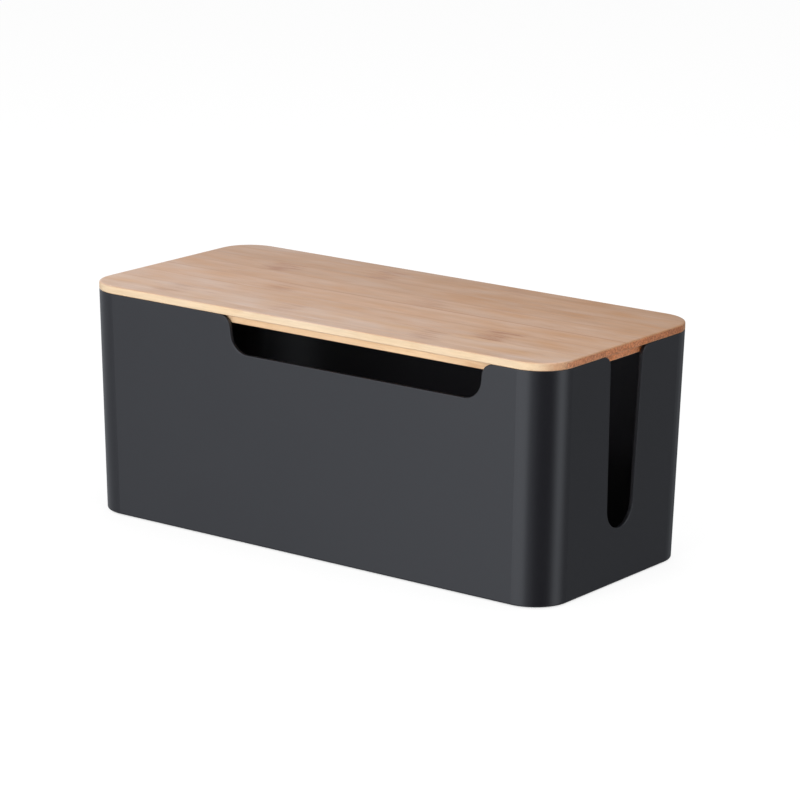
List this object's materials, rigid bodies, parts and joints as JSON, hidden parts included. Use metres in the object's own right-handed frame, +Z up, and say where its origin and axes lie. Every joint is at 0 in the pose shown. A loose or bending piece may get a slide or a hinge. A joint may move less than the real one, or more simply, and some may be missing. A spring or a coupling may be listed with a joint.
{
  "type": "cable management box",
  "caption": "Long round-cornered charcoal plastic tub with a front cable notch and an upright slot in each end, closed by a flat bamboo lid that lifts off.",
  "frame": {"origin": "on the table, under the middle of the box", "axes": "+X along the box, +Z up from the table, the wall with the wide cable notch faces -Y"},
  "size_m": [0.31, 0.14, 0.13],
  "materials": {
    "tub_plastic": "moulded charcoal plastic with a fine satin surface",
    "foot_rubber": "soft dark grey silicone rubber",
    "bamboo": "sanded flat-pressed bamboo with a thin matt oil finish"
  },
  "bodies": {
    "tub": {"tub": "tub_plastic", "foot_front_left": "foot_rubber", "foot_back_left": "foot_rubber", "foot_front_right": "foot_rubber", "foot_back_right": "foot_rubber"},
    "lid": {"lid_face_strip_1": "bamboo", "lid_face_strip_2": "bamboo", "lid_face_strip_3": "bamboo", "lid_face_strip_4": "bamboo", "lid_face_strip_5": "bamboo", "lid_face_strip_6": "bamboo", "lid_face_strip_7": "bamboo", "lid_face_strip_8": "bamboo", "lid_locating_strip_1": "bamboo", "lid_locating_strip_2": "bamboo", "lid_locating_strip_3": "bamboo", "lid_locating_strip_4": "bamboo", "lid_locating_strip_5": "bamboo", "lid_locating_strip_6": "bamboo", "lid_locating_strip_7": "bamboo"}
  },
  "joints": [
    {"name": "lid_lift", "type": "slide", "parent": "tub", "child": "lid", "axis": [0, 0, 1], "range_m": [0, 0.16]}
  ]
}
